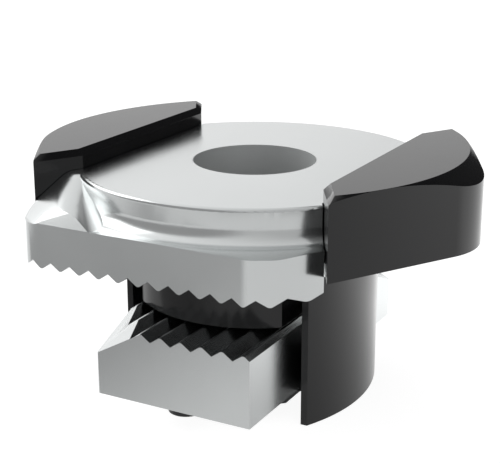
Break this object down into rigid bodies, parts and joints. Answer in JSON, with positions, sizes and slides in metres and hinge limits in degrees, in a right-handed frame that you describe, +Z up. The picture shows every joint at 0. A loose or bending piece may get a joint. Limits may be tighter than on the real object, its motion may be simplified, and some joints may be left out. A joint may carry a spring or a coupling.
{
  "type": "slot nut",
  "caption": "Quick-fit slot nut for strut channel: toothed steel bar nut in a black plastic holder with grip wings, under a toothed steel washer plate with a bolt hole.",
  "frame": {"origin": "on the bolt axis, at the level of the leg ends that the part stands on", "axes": "+Z up along the bolt axis, +X along the channel through the two wings, +Y across the channel along the bar nut"},
  "size_m": [0.0426, 0.0356, 0.023],
  "materials": {
    "zinc_plate": "bright zinc plating, smooth pressed steel",
    "black_plastic": "glossy moulded plastic",
    "zinc_nut": "bright zinc plating, cold-formed steel"
  },
  "bodies": {
    "root": {"washer_plate": "zinc_plate", "nut_holder": "black_plastic", "slot_nut": "zinc_nut"}
  },
  "joints": []
}
